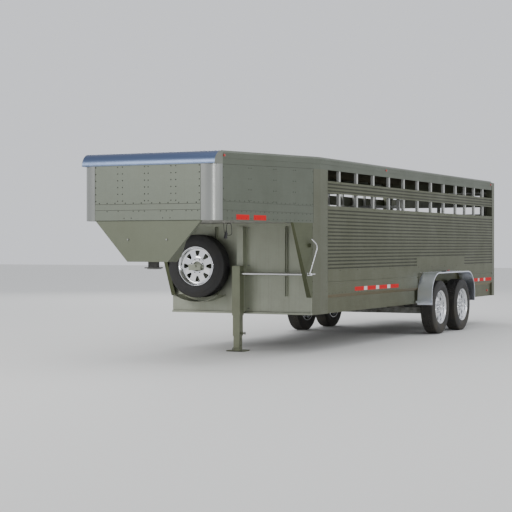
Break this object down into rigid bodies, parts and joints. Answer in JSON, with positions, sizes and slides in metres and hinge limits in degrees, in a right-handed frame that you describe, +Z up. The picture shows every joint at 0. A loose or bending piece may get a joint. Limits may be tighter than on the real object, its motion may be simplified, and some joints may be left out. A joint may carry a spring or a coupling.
{
  "type": "livestock trailer",
  "caption": "Gooseneck livestock trailer with slatted aluminium sides, sprung wheels, drop-leg jack, coupler, spare wheel, and swinging and sliding gates.",
  "frame": {"origin": "centre of the bounding box footprint, on the ground", "axes": "+X forward to the coupler, +Y to the left (road side), +Z up"},
  "size_m": [9.698, 2.354, 2.334],
  "materials": {
    "body_aluminium": "satin, oxidised",
    "bright_aluminium": "semi-bright",
    "polished_aluminium": "polished",
    "floor_aluminium": "mill",
    "steel": "galvanised or painted",
    "chrome": "plated",
    "tyre_rubber": "matte",
    "red_lens": "clear red",
    "tape": "retroreflective",
    "cord_rubber": "matte"
  },
  "bodies": {
    "trailer": {"axle_beams": "steel", "bulkhead": "body_aluminium", "cord_plug": "cord_rubber", "fenders": "polished_aluminium", "floor_frame": "floor_aluminium", "floor_planks": "floor_aluminium", "front_corner_posts": "body_aluminium", "gate_hinge_pins": "steel", "gooseneck_frame": "body_aluminium", "gussets": "body_aluminium", "jack_outer_tube": "body_aluminium", "lamps": "red_lens", "light_cord": "cord_rubber", "mid_rails": "body_aluminium", "neck_bolts": "steel", "nose_cap": "polished_aluminium", "nose_corner_posts": "bright_aluminium", "nose_deck": "body_aluminium", "nose_front_panel": "body_aluminium", "nose_sides": "body_aluminium", "rear_frame": "body_aluminium", "reflective_tape": "tape", "ribbed_sides": "body_aluminium", "roof_bows": "body_aluminium", "roof_skin": "body_aluminium", "rub_rails": "body_aluminium", "side_sills": "body_aluminium", "spare_carrier": "polished_aluminium", "top_rails": "body_aluminium", "tyre_spare": "tyre_rubber", "wall_posts": "body_aluminium", "wheel_spare": "polished_aluminium"},
    "jack_inner": {"jack_inner_tube": "body_aluminium"},
    "jack_leg": {"jack_drop_leg": "body_aluminium"},
    "jack_pin": {"jack_pin": "steel"},
    "jack_screw": {"jack_screw": "steel"},
    "crank": {"crank_shaft": "steel"},
    "crank_arm": {"crank_handle": "chrome"},
    "coupler": {"coupler_socket": "steel"},
    "coupler_lock": {"coupler_lock": "steel"},
    "rear_gate": {"rear_gate": "body_aluminium"},
    "half_door": {"half_door": "body_aluminium"},
    "gate_bolt": {"gate_bolt": "steel"},
    "centre_gate": {"centre_gate": "body_aluminium"},
    "arm_front_left": {"torsion_arm_front_left": "steel"},
    "road_wheel_front_left": {"tyre_front_left": "tyre_rubber", "wheel_front_left": "polished_aluminium", "hub_front_left": "steel"},
    "arm_front_right": {"torsion_arm_front_right": "steel"},
    "road_wheel_front_right": {"tyre_front_right": "tyre_rubber", "wheel_front_right": "polished_aluminium", "hub_front_right": "steel"},
    "arm_rear_left": {"torsion_arm_rear_left": "steel"},
    "road_wheel_rear_left": {"tyre_rear_left": "tyre_rubber", "wheel_rear_left": "polished_aluminium", "hub_rear_left": "steel"},
    "arm_rear_right": {"torsion_arm_rear_right": "steel"},
    "road_wheel_rear_right": {"tyre_rear_right": "tyre_rubber", "wheel_rear_right": "polished_aluminium", "hub_rear_right": "steel"}
  },
  "joints": [
    {"name": "suspension_front_left", "type": "hinge", "parent": "trailer", "child": "arm_front_left", "pos_m": [-1.39041, 0.9, 0.3385], "axis": [0, 1, 0], "range_deg": [-12, 14], "stiffness_Nm_per_rad": 7500, "springref_deg": -2.58},
    {"name": "wheel_spin_front_left", "type": "hinge", "parent": "arm_front_left", "child": "road_wheel_front_left", "pos_m": [-1.5335, 1.054, 0.3835], "axis": [0, 1, 0], "continuous": true},
    {"name": "suspension_front_right", "type": "hinge", "parent": "trailer", "child": "arm_front_right", "pos_m": [-1.39041, -0.9, 0.3385], "axis": [0, 1, 0], "range_deg": [-12, 14], "stiffness_Nm_per_rad": 7500, "springref_deg": -2.58},
    {"name": "wheel_spin_front_right", "type": "hinge", "parent": "arm_front_right", "child": "road_wheel_front_right", "pos_m": [-1.5335, -1.054, 0.3835], "axis": [0, 1, 0], "continuous": true},
    {"name": "suspension_rear_left", "type": "hinge", "parent": "trailer", "child": "arm_rear_left", "pos_m": [-2.39841, 0.9, 0.3385], "axis": [0, 1, 0], "range_deg": [-12, 14], "stiffness_Nm_per_rad": 7500, "springref_deg": -2.58},
    {"name": "wheel_spin_rear_left", "type": "hinge", "parent": "arm_rear_left", "child": "road_wheel_rear_left", "pos_m": [-2.5415, 1.054, 0.3835], "axis": [0, 1, 0], "continuous": true},
    {"name": "suspension_rear_right", "type": "hinge", "parent": "trailer", "child": "arm_rear_right", "pos_m": [-2.39841, -0.9, 0.3385], "axis": [0, 1, 0], "range_deg": [-12, 14], "stiffness_Nm_per_rad": 7500, "springref_deg": -2.58},
    {"name": "wheel_spin_rear_right", "type": "hinge", "parent": "arm_rear_right", "child": "road_wheel_rear_right", "pos_m": [-2.5415, -1.054, 0.3835], "axis": [0, 1, 0], "continuous": true},
    {"name": "crank_spin", "type": "hinge", "parent": "trailer", "child": "crank", "pos_m": [2.745, 0.5, 0.934], "axis": [0, 1, 0], "range_deg": [-2860, 5440]},
    {"name": "jack_screw_spin", "type": "hinge", "parent": "trailer", "child": "jack_screw", "pos_m": [2.745, 0.026, 0.7], "axis": [0, 0, 1], "range_deg": [-2862, 5442]},
    {"name": "jack_lift", "type": "slide", "parent": "trailer", "child": "jack_inner", "axis": [0, 0, 1], "range_m": [-0.1, 0.19]},
    {"name": "drop_leg", "type": "slide", "parent": "jack_inner", "child": "jack_leg", "axis": [0, 0, 1], "range_m": [-0.15, 0.15]},
    {"name": "drop_leg_pin", "type": "slide", "parent": "jack_inner", "child": "jack_pin", "axis": [0, -1, 0], "range_m": [0, 0.018]},
    {"name": "crank_fold", "type": "hinge", "parent": "crank", "child": "crank_arm", "pos_m": [2.745, 0.985, 0.934], "axis": [0, 0, 1], "range_deg": [-90, 0]},
    {"name": "coupler_height", "type": "slide", "parent": "trailer", "child": "coupler", "axis": [0, 0, -1], "range_m": [0, 0.15]},
    {"name": "coupler_lock_slide", "type": "slide", "parent": "coupler", "child": "coupler_lock", "axis": [1, 0, 0], "range_m": [0, 0.04]},
    {"name": "rear_gate_swing", "type": "hinge", "parent": "trailer", "child": "rear_gate", "pos_m": [-4.8335, -0.872, 1.3], "axis": [0, 0, 1], "range_deg": [0, 180]},
    {"name": "half_door_slide", "type": "slide", "parent": "rear_gate", "child": "half_door", "axis": [0, -1, 0], "range_m": [0, 0.72]},
    {"name": "gate_bolt_slide", "type": "slide", "parent": "rear_gate", "child": "gate_bolt", "axis": [0, 1, 0], "range_m": [0, 0.045]},
    {"name": "centre_gate_swing", "type": "hinge", "parent": "trailer", "child": "centre_gate", "pos_m": [-0.5211, -0.8815, 1.3], "axis": [0, 0, 1], "range_deg": [0, 85]}
  ],
  "couplings": [
    {"joint": "jack_screw_spin", "follows": "crank_spin", "ratio": 1},
    {"joint": "jack_lift", "follows": "crank_spin", "m_per_rad": 0.002}
  ]
}
